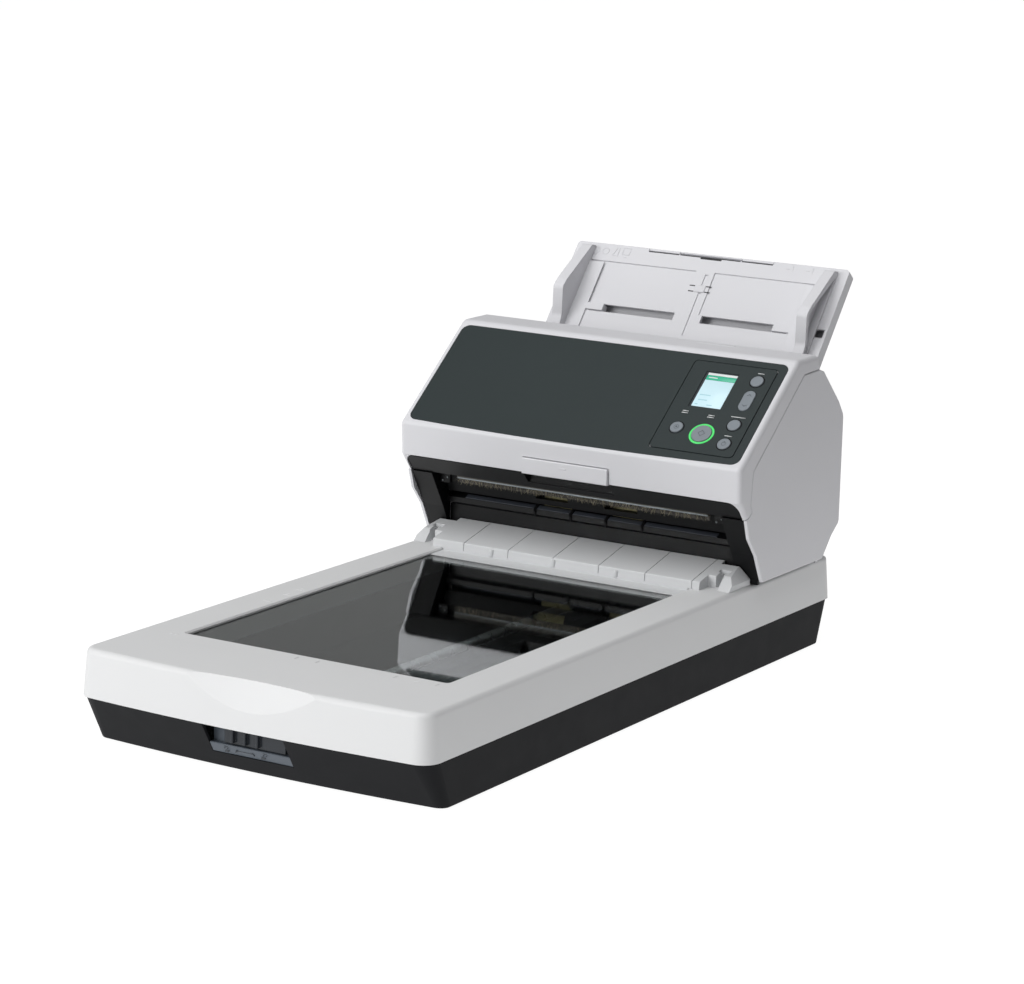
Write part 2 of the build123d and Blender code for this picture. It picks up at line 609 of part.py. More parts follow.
skin = 3.2
fold_top = panel_low[0] + (feeder_top - panel_low[1]) / tan(radians(panel_slope))
nose = 409.6
fold_low = panel_low[1] - (panel_low[0] - nose) * tan(radians(panel_slope))
mouth_top = 138.8
operator_centre = (102.15, 50.75)
operator_size = (70.3, 89.1)
tab_half = 37.4
tab_low = 138.0
tab_top = 150.4
with BuildPart() as adf_cover:
    extrude(outline(side_view, [(nose, fold_low, 3.5), (fold_top, feeder_top, 9), (530.2, feeder_top, 4), (534.5, 222),
                                (534.5, 180), (450, 110), (422.1, 124.4), (411.0, mouth_top)]),
            amount=feeder_half_width, both=True)
    fillet(adf_cover.faces().sort_by(Axis.X)[0].edges() + adf_cover.faces().sort_by(Axis.X)[-1].edges(), 4)
    extrude(outline(side_view, [*seam, (440, 90), (560, 90), (560, 223.4)]),
            amount=feeder_half_width + 1, both=True, mode=Mode.SUBTRACT)
    extrude(outline(side_view, [(nose + skin, fold_low - 1.4, 2), (fold_top + 1.2, feeder_top - skin, 6),
                                (530.2 - skin + 0.6, feeder_top - skin, 1.5), (529.5, 222.0), (560, 222.0),
                                (560, 90), (440, 90), (423.5, 120), (424.0, 126.0), (414.3, mouth_top)]),
            amount=inner_half_width + 0.2, both=True, mode=Mode.SUBTRACT)
    for x in (-143.5, 140.0):
        extrude(outline(moved_x(side_view, x), [(500, 232), (528.5, 232), (533.0, 219.5),
                                                (hinge_axis[0] + 2, hinge_axis[1] + 7, 4),
                                                (hinge_axis[0] + 7, hinge_axis[1] - 7, 5),
                                                (hinge_axis[0] - 7, hinge_axis[1] - 7, 5), (506, 226)]),
                amount=3.5)
    extrude(along(side_view, *hinge_axis, 4.05), amount=inner_half_width, both=True, mode=Mode.SUBTRACT)
    with BuildSketch(Plane(origin=(0, front + 440, 0), x_dir=(1, 0, 0), z_dir=(0, -1, 0))):
        with Locations((0, mouth_top - 20)):
            RectangleRounded(2 * 146.6, 40, 8)
    extrude(amount=60, mode=Mode.SUBTRACT)
    extrude(panel_sheet(0, 0.2), amount=-1.6, mode=Mode.SUBTRACT)
    with BuildSketch(panel_face):
        with Locations(operator_centre):
            RectangleRounded(operator_size[0] - 4, operator_size[1] - 4, 3)
    extrude(amount=-12, mode=Mode.SUBTRACT)
    with Locations(at(0, nose - 4, mouth_top - 4)):
        Box(2 * tab_half + 1.0, 14, tab_top + 0.6 - mouth_top + 4, align=(Align.CENTER, Align.MIN, Align.MIN),
            mode=Mode.SUBTRACT)
keep(adf_cover, "adf_cover")

with BuildPart() as front_panel:
    extrude(panel_sheet(-1.6, 0), amount=1.6)
    with BuildSketch(panel_face.offset(-1.6)):
        with Locations(operator_centre):
            RectangleRounded(operator_size[0] + 1.4, operator_size[1] + 1.4, 3.7)
    extrude(amount=1.6, mode=Mode.SUBTRACT)
    fillet(front_panel.faces().sort_by(Axis((0, 0, 0), tuple(panel_face.z_dir)))[-1].edges(), 0.35)
keep(front_panel, "front_panel")

# ---------------------------------------------------------------- operator panel
small_button = 5.2
button_places = {"menu_button": (125.3, 81.6), "manual_feed_button": (125.7, 36.8),
                 "power_button": (125.7, 17.8), "stop_button": (81.2, 27.6)}
scan_place = (103.8, 24.6)
scan_radius = 8.0
ring_outer = 10.0
ring_inner = 8.3
rocker_place = (125.6, 61.6)
rocker_length = 20.0
rocker_width = 9.6
screen_place = (94.5, 68.0)
screen_size = (27.4, 36.4)
hole_gap = 0.25
with BuildPart() as operator_bezel:
    with BuildSketch(panel_face.offset(-1.6)):
        with Locations(operator_centre):
            RectangleRounded(operator_size[0], operator_size[1], 3)
        for spot in button_places.values():
            with Locations(spot):
                Circle(small_button + hole_gap, mode=Mode.SUBTRACT)
        with Locations(scan_place):
            Circle(ring_outer + 0.05, mode=Mode.SUBTRACT)
        with Locations(rocker_place):
            SlotOverall(rocker_length + 2 * hole_gap, rocker_width + 2 * hole_gap, rotation=90, mode=Mode.SUBTRACT)
        with Locations(screen_place):
            RectangleRounded(screen_size[0] + 0.1, screen_size[1] + 0.1, 0.6, mode=Mode.SUBTRACT)
    extrude(amount=1.6)
keep(operator_bezel, "operator_bezel")

with BuildPart() as lcd_screen:
    with BuildSketch(panel_face.offset(-3.4)):
        with Locations(screen_place):
            RectangleRounded(screen_size[0], screen_size[1], 0.5)
    extrude(amount=2.9)
keep(lcd_screen, "lcd_screen")

with BuildPart() as status_ring:
    with BuildSketch(panel_face.offset(-1.6)):
        with Locations(scan_place):
            Circle(ring_outer)
            Circle(ring_inner, mode=Mode.SUBTRACT)
    extrude(amount=1.9)
    chamfer(status_ring.faces().sort_by(Axis((0, 0, 0), tuple(panel_face.z_dir)))[-1].edges(), 0.3)
keep(status_ring, "status_ring")

button_crown = 0.9
for name, spot in [*button_places.items(), ("scan_button", scan_place)]:
    radius = scan_radius if name == "scan_button" else small_button
    with BuildPart() as button:
        with BuildSketch(panel_face.offset(-1.9)):
            with Locations(spot):
                Circle(radius)
        extrude(amount=1.9 + button_crown)
        fillet(button.faces().sort_by(Axis((0, 0, 0), tuple(panel_face.z_dir)))[-1].edges(), 0.6)
        with BuildSketch(panel_face.offset(-3.3)):
            with Locations(spot):
                Circle(radius + 0.9)
        extrude(amount=1.4)
        with BuildSketch(panel_face.offset(-6.6)):
            with Locations(spot):
                Circle(1.6)
        extrude(amount=3.3)
    keep(button, name)

with BuildPart() as scroll_rocker:
    with BuildSketch(panel_face.offset(-2.6)):
        with Locations(rocker_place):
            SlotOverall(rocker_length, rocker_width, rotation=90)
    extrude(amount=2.6 + button_crown)
    fillet(scroll_rocker.faces().sort_by(Axis((0, 0, 0), tuple(panel_face.z_dir)))[-1].edges(), 0.6)
    with Locations(panel_face.location * Location((rocker_place[0], rocker_place[1], -3.2))):
        Cylinder(1.2, 8, rotation=(0, 90, 0))
keep(scroll_rocker, "scroll_rocker")

with BuildPart() as button_board:
    with BuildSketch(panel_face.offset(-9.6)):
        with Locations(operator_centre):
            Rectangle(operator_size[0] - 6, operator_size[1] - 6)
    extrude(amount=1.6)
    for spot in [*button_places.values(), scan_place]:
        with BuildSketch(panel_face.offset(-8.0)):
            with Locations(spot):
                Rectangle(4, 4)
        extrude(amount=0.5)
keep(button_board, "button_board")

# ---------------------------------------------------------------- cover: release tab, upper guide, brush, idlers
tab_axis = (411.0, tab_top - 1.5)
with BuildPart() as release_tab:
    extrude(outline(side_view, [(nose - 1.0, tab_low, 0.8), (nose - 1.2, tab_top, 0.8), (412.4, tab_top), (413.0, tab_low)]),
            amount=tab_half, both=True)
    extrude(along(side_view, *tab_axis, 1.4), amount=tab_half + 0.3, both=True)
keep(release_tab, "release_tab")

with BuildPart() as upper_guide:
    extrude(outline(side_view, [(412.3, 138.0), (423.3, 124.9), (437.0, 124.9), over_path(446.0), over_path(532.0),
                                (538.5, 189.0, 4), (538.5, 199.0, 4), (531.0, 223.0), (508.0, 223.0, 3),
                                (502.0, 215.5, 3), (425.5, 152.5, 3), (418.0, 141.0)]),
            amount=guide_half_width - 1, both=True)
    extrude(outline(side_view, [(421.0, 138.5), (425.0, 127.5), (438.6, 127.5), (446.2, over_path(446.2)[1] + 5.2),
                                (530.0, over_path(530.0)[1] + 3.4), (535.9, 190.0, 2), (535.9, 198.6, 2),
                                (528.6, 226.0), (505.5, 226.0), (420.0, 156.0)]),
            amount=guide_half_width - 1 - wall, both=True, mode=Mode.SUBTRACT)
    extrude(outline(side_view, [(412.3, 138.0), (423.3, 124.9), (436.0, 124.9), (436.0, 127.3), (424.6, 127.3),
                                (415.4, 138.6)]),
            amount=146.2, both=True)
    with Locations(at(0, 408, 129.5)):
        Box(76, 13.0, 20, align=(Align.CENTER, Align.MIN, Align.MIN), mode=Mode.SUBTRACT)
    with BuildSketch(Plane(origin=(0, front + 420, 0), x_dir=(1, 0, 0), z_dir=(0, -1, 0))):
        with Locations((0, mouth_top)):
            Rectangle(2 * feeder_half_width, 24)
        with Locations((0, mouth_top - 0.3 - 20)):
            RectangleRounded(2 * 146.3, 40, 8, mode=Mode.SUBTRACT)
    extrude(amount=16, mode=Mode.SUBTRACT)
    with Locations([at(x, 438.9, 111.4) for x in tyre_places]):
        Box(2 * tyre_half + 2, 14, 10.6, align=(Align.CENTER, Align.MIN, Align.MIN), mode=Mode.SUBTRACT)
    for place, radius in ((eject_p, 6.0), (feed_p, 9.0)):
        for x in tyre_places:
            cutter = moved_x(path_side, x - tyre_half - 1)
            extrude(along(cutter, place, radius + 0.2, radius + 1), amount=2 * tyre_half + 2, mode=Mode.SUBTRACT)
        extrude(along(path_side, place, radius + 0.2, 2.05), amount=160, both=True, mode=Mode.SUBTRACT)
    extrude(outline(path_side, [(sensor_p - 10.6, -3), (sensor_p + 10.6, -3), (sensor_p + 10.6, 5),
                                (sensor_p - 10.6, 5)]),
            amount=113, both=True, mode=Mode.SUBTRACT)
keep(upper_guide, "upper_guide")

with BuildPart() as upper_image_sensor:
    extrude(outline(path_side, [(sensor_p - 10, 16), (sensor_p + 10, 16), (sensor_p + 10, path_gap + 0.1),
                                (sensor_p - 10, path_gap + 0.1)]), amount=112, both=True)
keep(upper_image_sensor, "upper_image_sensor")

for name, place, radius in (("eject_idlers", eject_p, 6.0), ("brake_roller", feed_p, 9.0)):
    centre = path_side.from_local_coords(Vector(place, radius + 0.2, 0))
    with BuildPart() as idler:
        with Locations(centre):
            Cylinder(2, 2 * guide_half_width - 3, rotation=(0, 90, 0))
        with Locations([centre + Vector(x, 0, 0) for x in tyre_places]):
            Cylinder(radius, 2 * tyre_half, rotation=(0, 90, 0))
    keep(idler, name)

brush_half = 111.0
with BuildPart() as brush_strip:
    extrude(outline(side_view, [(432.6, 124.8), (432.6, 121.8), (436.0, 120.4), (436.9, 116.6), (438.0, 116.6),
                                (438.4, 120.4), (437.0, 124.8)]), amount=brush_half, both=True)
keep(brush_strip, "brush_strip")

# ---------------------------------------------------------------- paper chute
face_plate = 2.5
slot_low = -6.0
slot_high = 1.4
lip_half = 56.7
inner_lip_half = 27.9
with BuildPart() as chute_tray:
    with BuildSketch(chute_face):
        with Locations((0, (chute_top + chute_bottom) / 2)):
            RectangleRounded(2 * chute_half_width, chute_top - chute_bottom, 3)
    extrude(amount=-chute_depth)
    fillet(chute_tray.faces().sort_by(Axis((0, 0, 0), tuple(chute_face.z_dir)))[0].edges(), chute_round)
    with BuildSketch(chute_face.offset(-chute_depth)):
        with Locations((0, (chute_top + chute_bottom) / 2)):
            RectangleRounded(2 * (chute_half_width - wall), chute_top - chute_bottom - 2 * wall, 3)
    extrude(amount=chute_depth - face_plate, mode=Mode.SUBTRACT)
    with BuildSketch(chute_face):
        for x0, x1 in ((-89.5, -12.3), (12.3, 89.5), (113.5, 121.0), (-121.0, -113.5)):
            with Locations(((x0 + x1) / 2, (slot_low + slot_high) / 2)):
                Rectangle(x1 - x0, slot_high - slot_low)
    extrude(amount=-face_plate, mode=Mode.SUBTRACT)
    with BuildSketch(chute_face):
        for x0, x1 in ((-105.4, -8.0), (9.0, 104.0)):
            with Locations(((x0 + x1) / 2, (slot_high + 41.0) / 2)):
                Rectangle(x1 - x0, 41.0 - slot_high)
    extrude(amount=-0.9, mode=Mode.SUBTRACT)
    with BuildSketch(chute_face):
        with Locations((2.6, 10)):
            Rectangle(2.6, 57)
    extrude(amount=-0.8, mode=Mode.SUBTRACT)
    with BuildSketch(chute_face):
        with Locations((0, chute_top)):
            Rectangle(2 * lip_half, 5.6)
    extrude(amount=-chute_depth + 1.4, mode=Mode.SUBTRACT)
    for x in (-84, 64):
        extrude(outline(moved_x(side_view, x), [(562.3, 178), (564.4, 178), (564.4, 195.2), (573.0, 199.8),
                                                (567.5, 204.0), (562.3, 200.6)]), amount=20)
keep(chute_tray, "chute_tray")

with BuildPart() as chute_back:
    with BuildSketch(chute_face.offset(-chute_depth)):
        with Locations((0, (chute_top + chute_bottom) / 2 - 0.5)):
            RectangleRounded(2 * (chute_half_width - wall) - 0.4, chute_top - chute_bottom - 2 * wall - 1.4, 2.6)
    extrude(amount=1.5)
keep(chute_back, "chute_back")

outer_depth = (-5.4, -3.0)
inner_depth = (-8.6, -5.8)
with BuildPart() as extension_outer:
    with BuildSketch(chute_face.offset(outer_depth[0])):
        with Locations((0, 4)):
            Rectangle(2 * lip_half - 0.8, chute_top - 4 - 1.4, align=(Align.CENTER, Align.MIN))
    extrude(amount=outer_depth[1] - outer_depth[0])
    with BuildSketch(chute_face.offset(outer_depth[0])):
        for sign in (-1, 1):
            with Locations((sign * (lip_half + inner_lip_half + 0.2) / 2, chute_top - 2)):
                Rectangle(lip_half - inner_lip_half - 1.0, 2, align=(Align.CENTER, Align.MIN))
    extrude(amount=-outer_depth[0] - 0.2)
keep(extension_outer, "extension_outer")

with BuildPart() as extension_inner:
    with BuildSketch(chute_face.offset(inner_depth[0])):
        with Locations((0, 8)):
            Rectangle(2 * inner_lip_half - 0.4, chute_top - 8, align=(Align.CENTER, Align.MIN))
    extrude(amount=inner_depth[1] - inner_depth[0])
    with BuildSketch(chute_face.offset(inner_depth[0])):
        with Locations((0, chute_top - 1.2)):
            Rectangle(2 * inner_lip_half - 0.4, 1.2, align=(Align.CENTER, Align.MIN))
    extrude(amount=-inner_depth[0] - 0.2)
keep(extension_inner, "extension_inner")

# ---------------------------------------------------------------- chute: paper guides, racks and pinion
guide_inner = 105.5
guide_outer = 114.5
pinion_s = -26.0
pinion_pitch = 8.0
tooth_pitch = 2 * pi * pinion_pitch / 16
rack_depth = (-8.6, -5.6)
arm_depth = -5.3
arm_x = 83.0
pinion_depth = (-8.4, -5.8)
guide_side = [(54.0, 0.4, 1), (51.0, 6.5, 3), (8.0, 22.0, 5), (0.0, 23.4, 5), (-19.0, 9.0, 8), (-31.0, 7.0), (-31.0, 0.4)]
guide_hollow = [(48.0, 1.6), (9.0, 18.4), (2.0, 20.0), (-17.0, 6.6), (-28.0, 5.0), (-28.0, 1.6)]


def paper_guide(sign):
    """One upright side guide with its foot, arm and rack; sign is +1 on the right."""
    near = guide_inner if sign > 0 else -guide_outer
    outside = guide_inner + 2.2 if sign > 0 else -guide_outer
    rack_s = pinion_s + sign * (pinion_pitch + 2.9)
    root_s = rack_s - sign * 1.8
    arm_length = slot_high - slot_low - 1.2
    arm_s = (slot_low + slot_high) / 2
    with BuildPart() as guide:
        extrude(outline(moved_x(chute_side, near), guide_side), amount=guide_outer - guide_inner)
        extrude(outline(moved_x(chute_side, outside), guide_hollow), amount=guide_outer - guide_inner - 2.2,
                mode=Mode.SUBTRACT)
        with BuildSketch(chute_face.offset(0.3)):
            with Locations((sign * (guide_inner - 6), 4.0)):
                Rectangle(15, 70)
            with Locations((sign * 86.0, arm_s)):
                Rectangle(18, arm_length)
        extrude(amount=0.9)
        with BuildSketch(chute_face.offset(arm_depth)):
            with Locations((sign * arm_x, arm_s)):
                Rectangle(12, arm_length)
        extrude(amount=0.4 - arm_depth)
        with BuildSketch(chute_face.offset(arm_depth)):
            with Locations((sign * arm_x, (arm_s + rack_s) / 2)):
                Rectangle(12, abs(arm_s - rack_s) + 3.6)
        extrude(amount=2.3)
        with BuildSketch(chute_face.offset(rack_depth[0])):
            with Locations((sign * arm_x, rack_s)):
                Rectangle(12, 3.6)
        extrude(amount=arm_depth - rack_depth[0])
        with BuildSketch(chute_face.offset(rack_depth[0])):
            with Locations((sign * 40.5, rack_s)):
                Rectangle(97, 3.6)
            for step in range(-2, 22):
                with Locations((sign * (step + 0.5) * tooth_pitch, root_s)):
                    Polygon((-0.8, sign * 0.2), (-0.3, -sign * 1.8), (0.3, -sign * 1.8), (0.8, sign * 0.2), align=None)
        extrude(amount=rack_depth[1] - rack_depth[0])
    return guide


right_paper_guide = paper_guide(1)
keep(right_paper_guide, "right_paper_guide")
left_paper_guide = paper_guide(-1)
keep(left_paper_guide, "left_paper_guide")

with BuildPart() as guide_pinion:
    with BuildSketch(chute_face.offset(pinion_depth[0])):
        with Locations((0, pinion_s)):
            Circle(pinion_pitch - 1.1)
            with PolarLocations(pinion_pitch - 1.4, 16):
                Polygon((0, -0.8), (2.2, -0.3), (2.2, 0.3), (0, 0.8), align=None)
    extrude(amount=pinion_depth[1] - pinion_depth[0])
    with BuildSketch(chute_face.offset(pinion_depth[1])):
        with Locations((0, pinion_s)):
            Circle(2.5)
    extrude(amount=2.8)
keep(guide_pinion, "guide_pinion")
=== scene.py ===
from math import pi, radians
from random import Random

import bpy
from mathutils import Matrix, Vector


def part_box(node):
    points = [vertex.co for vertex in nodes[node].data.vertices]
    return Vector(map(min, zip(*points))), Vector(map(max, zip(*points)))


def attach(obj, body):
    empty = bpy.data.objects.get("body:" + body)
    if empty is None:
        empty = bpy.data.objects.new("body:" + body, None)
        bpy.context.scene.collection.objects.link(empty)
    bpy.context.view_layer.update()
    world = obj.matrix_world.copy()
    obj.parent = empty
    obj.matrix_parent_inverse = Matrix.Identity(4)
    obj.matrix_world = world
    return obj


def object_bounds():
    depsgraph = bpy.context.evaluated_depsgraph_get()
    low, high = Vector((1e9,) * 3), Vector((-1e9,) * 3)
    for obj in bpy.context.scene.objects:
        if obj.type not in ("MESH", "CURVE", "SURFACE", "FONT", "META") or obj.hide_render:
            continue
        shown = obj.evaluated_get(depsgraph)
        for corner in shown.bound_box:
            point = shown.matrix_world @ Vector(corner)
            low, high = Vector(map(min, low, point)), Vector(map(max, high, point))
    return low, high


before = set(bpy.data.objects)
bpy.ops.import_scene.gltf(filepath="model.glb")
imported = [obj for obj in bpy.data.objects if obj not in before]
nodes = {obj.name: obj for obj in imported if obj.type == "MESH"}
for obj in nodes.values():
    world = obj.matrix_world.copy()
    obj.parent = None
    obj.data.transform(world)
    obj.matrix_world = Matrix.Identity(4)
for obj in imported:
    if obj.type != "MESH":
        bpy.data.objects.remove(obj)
cad_low, cad_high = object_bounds()
mm = 0.001


# ------------------------------------------------------------------ studio
# The camera stands to the right of the operator's place, a little above the machine and very slightly
# tipped, and looks down at it through a long lens.
camera_turn = radians(31.58)
camera_rise = radians(12.19)
camera_tip = radians(1.43)
camera_aim = Vector((0.0103, -0.0014, 0.1454))
camera_distance = 2.508
camera_data = bpy.data.cameras.new("studio_camera")
camera_data.lens = 120.5
camera_data.sensor_width = 36.0
camera_data.clip_end = 100.0
camera = bpy.data.objects.new("studio_camera", camera_data)
bpy.context.collection.objects.link(camera)
camera_turned = (Matrix.Rotation(camera_turn, 4, "Z") @ Matrix.Rotation(pi / 2 - camera_rise, 4, "X")
                 @ Matrix.Rotation(camera_tip, 4, "Z"))
camera_back = camera_turned @ Vector((0, 0, 1))
camera.matrix_world = Matrix.Translation(camera_aim + camera_distance * camera_back) @ camera_turned
bpy.context.scene.camera = camera
bpy.context.scene.view_settings.view_transform = "Standard"

# A plain pale floor and a soft pale room round it.
bpy.ops.object.select_all(action="DESELECT")
bpy.ops.mesh.primitive_plane_add(size=60.0, location=(0, 0, -0.0002))
floor = bpy.context.object
floor.name = "studio_floor"
floor_paint = bpy.data.materials.new("floor_paint")
floor_paint.use_nodes = True
floor_shader = floor_paint.node_tree.nodes["Principled BSDF"]
floor_shader.inputs["Base Color"].default_value = (0.14, 0.14, 0.14, 1)
floor_shader.inputs["Roughness"].default_value = 0.9
floor_shader.inputs["Specular IOR Level"].default_value = 0.1
floor_shader.inputs["Emission Color"].default_value = (1, 1, 1, 1)
floor_shader.inputs["Emission Strength"].default_value = 0.96
floor.data.materials.append(floor_paint)

room = bpy.data.worlds.new("studio_room")
room.use_nodes = True
room.node_tree.nodes["Background"].inputs["Color"].default_value = (1.0, 1.0, 1.0, 1)
room.node_tree.nodes["Background"].inputs["Strength"].default_value = 0.26
bpy.context.scene.world = room


machine_middle = Vector((0, 0, 0.1))


def soft_box(name, place, width, height, power):
    """A rectangular studio light that faces the middle of the machine."""
    light_data = bpy.data.lights.new(name, "AREA")
    light_data.shape = "RECTANGLE"
    light_data.size = width
    light_data.size_y = height
    light_data.energy = power
    light = bpy.data.objects.new(name, light_data)
    bpy.context.collection.objects.link(light)
    light.location = place
    aim = machine_middle - Vector(place)
    light.rotation_euler = aim.to_track_quat("-Z", "Y").to_euler()


soft_box("front_left_box", (-1.4, -2.7, 1.15), 1.8, 1.4, 47)
soft_box("overhead_box", (0.0, -0.7, 2.5), 2.2, 2.0, 37)

# A grey card to the right keeps the light off that side, which stays in half shadow.
bpy.ops.object.select_all(action="DESELECT")
bpy.ops.mesh.primitive_plane_add(size=1.0, location=(0.66, 0.10, 0.36), rotation=(0, pi / 2, 0))
card = bpy.context.object
card.name = "studio_card"
card.scale = (0.72, 2.1, 1.0)
card.visible_camera = False
card_paint = bpy.data.materials.new("card_paint")
card_paint.use_nodes = True
card_shader = card_paint.node_tree.nodes["Principled BSDF"]
card_shader.inputs["Base Color"].default_value = (0.12, 0.12, 0.125, 1)
card_shader.inputs["Roughness"].default_value = 0.9
card.data.materials.append(card_paint)

# ------------------------------------------------------------------ casings of moulded plastic
# The casings are injection-moulded, with a fine spark-eroded grain and softly broken edges.
def moulded_plastic(name, colour, roughness=0.5, grain=0.25 * mm, depth=0.004 * mm, broken_edge=0.5 * mm,
                    tone=0.03, shine=0.4):
    """A moulded plastic: slow tone drift, fine grain and edges that catch the light."""
    plastic = bpy.data.materials.new(name)
    plastic.use_nodes = True
    tree = plastic.node_tree
    shader = tree.nodes["Principled BSDF"]
    shader.inputs["Specular IOR Level"].default_value = shine
    place = tree.nodes.new("ShaderNodeTexCoord")
    drift = tree.nodes.new("ShaderNodeTexNoise")
    drift.inputs["Scale"].default_value = 9.0
    drift.inputs["Detail"].default_value = 3.0
    tree.links.new(place.outputs["Object"], drift.inputs["Vector"])
    mix = tree.nodes.new("ShaderNodeMix")
    mix.data_type = "RGBA"
    mix.inputs["A"].default_value = (*[channel * (1 - tone) for channel in colour], 1)
    mix.inputs["B"].default_value = (*[min(1.0, channel * (1 + tone)) for channel in colour], 1)
    tree.links.new(drift.outputs["Fac"], mix.inputs["Factor"])
    tree.links.new(mix.outputs["Result"], shader.inputs["Base Color"])
    handling = tree.nodes.new("ShaderNodeTexNoise")
    handling.inputs["Scale"].default_value = 60.0
    handling.inputs["Detail"].default_value = 5.0
    tree.links.new(place.outputs["Object"], handling.inputs["Vector"])
    gloss = tree.nodes.new("ShaderNodeMapRange")
    gloss.inputs["To Min"].default_value = roughness - 0.05
    gloss.inputs["To Max"].default_value = roughness + 0.05
    tree.links.new(handling.outputs["Fac"], gloss.inputs["Value"])
    tree.links.new(gloss.outputs["Result"], shader.inputs["Roughness"])
    erosion = tree.nodes.new("ShaderNodeTexNoise")
    erosion.inputs["Scale"].default_value = 1.0 / grain
    erosion.inputs["Detail"].default_value = 2.0
    tree.links.new(place.outputs["Object"], erosion.inputs["Vector"])
    edge = tree.nodes.new("ShaderNodeBevel")
    edge.samples = 4
    edge.inputs["Radius"].default_value = broken_edge
    bump = tree.nodes.new("ShaderNodeBump")
    bump.inputs["Strength"].default_value = 0.6
    bump.inputs["Distance"].default_value = depth
    tree.links.new(erosion.outputs["Fac"], bump.inputs["Height"])
    tree.links.new(edge.outputs["Normal"], bump.inputs["Normal"])
    tree.links.new(bump.outputs["Normal"], shader.inputs["Normal"])
    return plastic


def finish_nodes(material, *names):
    """Gives CAD nodes their finish."""
    for name in names:
        nodes[name].data.materials.clear()
        nodes[name].data.materials.append(material)


light_grey = moulded_plastic("light_grey_casing", (0.66, 0.66, 0.685))
finish_nodes(light_grey, "adf_cover", "left_side_panel", "right_side_panel", "rear_cover", "release_tab",
             "chute_tray", "chute_back", "extension_outer", "extension_inner", "left_paper_guide",
             "right_paper_guide")
deck_white = moulded_plastic("deck_casing", (0.68, 0.685, 0.69))
finish_nodes(deck_white, "upper_case")
ramp_grey = moulded_plastic("ramp_moulding", (0.63, 0.64, 0.65))
finish_nodes(ramp_grey, "exit_ramp")
charcoal = moulded_plastic("charcoal_casing", (0.008, 0.0085, 0.010), roughness=0.6, shine=0.12)
finish_nodes(charcoal, "lower_case")
lock_grey = moulded_plastic("lock_moulding", (0.075, 0.09, 0.11), roughness=0.45)
finish_nodes(lock_grey, "lock_escutcheon")
slider_black = moulded_plastic("slider_black", (0.020, 0.024, 0.030), roughness=0.25)
finish_nodes(slider_black, "transport_lock")

# ------------------------------------------------------------------ feeder mouldings
# The sheet guides are black mouldings polished by the paper, and the panels are satin painted. The buttons
# are a cool grey, and the circuit boards are green.
guide_black = moulded_plastic("guide_black", (0.004, 0.0042, 0.0048), roughness=0.42, depth=0.002 * mm,
                              shine=0.2)
finish_nodes(guide_black, "lower_guide", "upper_guide", "scan_carriage", "lower_image_sensor",
             "upper_image_sensor", "carriage_drive_pulley", "carriage_idler_pulley", "guide_pinion",
             "power_inlet", "network_port")
panel_dark = moulded_plastic("panel_dark", (0.020, 0.029, 0.030), roughness=0.5, grain=0.35 * mm,
                             tone=0.08, shine=0.3)
finish_nodes(panel_dark, "front_panel", "operator_bezel")
button_grey = moulded_plastic("button_grey", (0.20, 0.225, 0.25), roughness=0.4)
finish_nodes(button_grey, "menu_button", "manual_feed_button", "power_button", "stop_button", "scan_button",
             "scroll_rocker")
circuit_green = moulded_plastic("circuit_green", (0.02, 0.16, 0.06), roughness=0.3)
finish_nodes(circuit_green, "main_board", "button_board")


# ------------------------------------------------------------------ rollers and belts
# Rubber is matt, with a fine ground surface. The tyres that feed and eject the sheets are cream, and the
# rest is black.
def ground_rubber(name, colour):
    return moulded_plastic(name, colour, roughness=0.75, grain=0.12 * mm, depth=0.02 * mm, shine=0.25,
                           tone=0.12)


rubber_black = ground_rubber("black_rubber", (0.018, 0.018, 0.018))
finish_nodes(rubber_black, "rubber_feet", "carriage_belt", "feeder_belt", "brake_roller", "pick_tyres")
roller_cream = ground_rubber("cream_rubber", (0.42, 0.39, 0.22))
finish_nodes(roller_cream, "eject_tyres", "feed_tyres", "eject_idlers")


# ------------------------------------------------------------------ turned steel
# Shafts, pins and screws are steel with a very fine grain. The motors' cans are darker and duller.
def turned_steel(name, colour, roughness):
    steel = moulded_plastic(name, colour, roughness=roughness, grain=0.4 * mm, depth=0.003 * mm)
    steel.node_tree.nodes["Principled BSDF"].inputs["Metallic"].default_value = 1.0
    return steel


ground_steel = turned_steel("ground_steel", (0.60, 0.60, 0.61), 0.28)
finish_nodes(ground_steel, "eject_shaft", "feed_shaft", "pick_shaft", "guide_rod", "hinge_pins",
             "case_screws", "motor_pulley", "usb_port")
motor_can = turned_steel("motor_can", (0.42, 0.42, 0.44), 0.38)
finish_nodes(motor_can, "carriage_motor", "feeder_motor")

# ------------------------------------------------------------------ bed glass and lens
# Clear float glass, and a lens bar under it.
clear_glass = bpy.data.materials.new("clear_glass")
clear_glass.use_nodes = True
glass_shader = clear_glass.node_tree.nodes["Principled BSDF"]
glass_shader.inputs["Base Color"].default_value = (0.86, 0.93, 0.92, 1)
glass_shader.inputs["Roughness"].default_value = 0.02
glass_shader.inputs["Transmission Weight"].default_value = 1.0
glass_shader.inputs["IOR"].default_value = 1.5
finish_nodes(clear_glass, "platen_glass", "lens_bar")


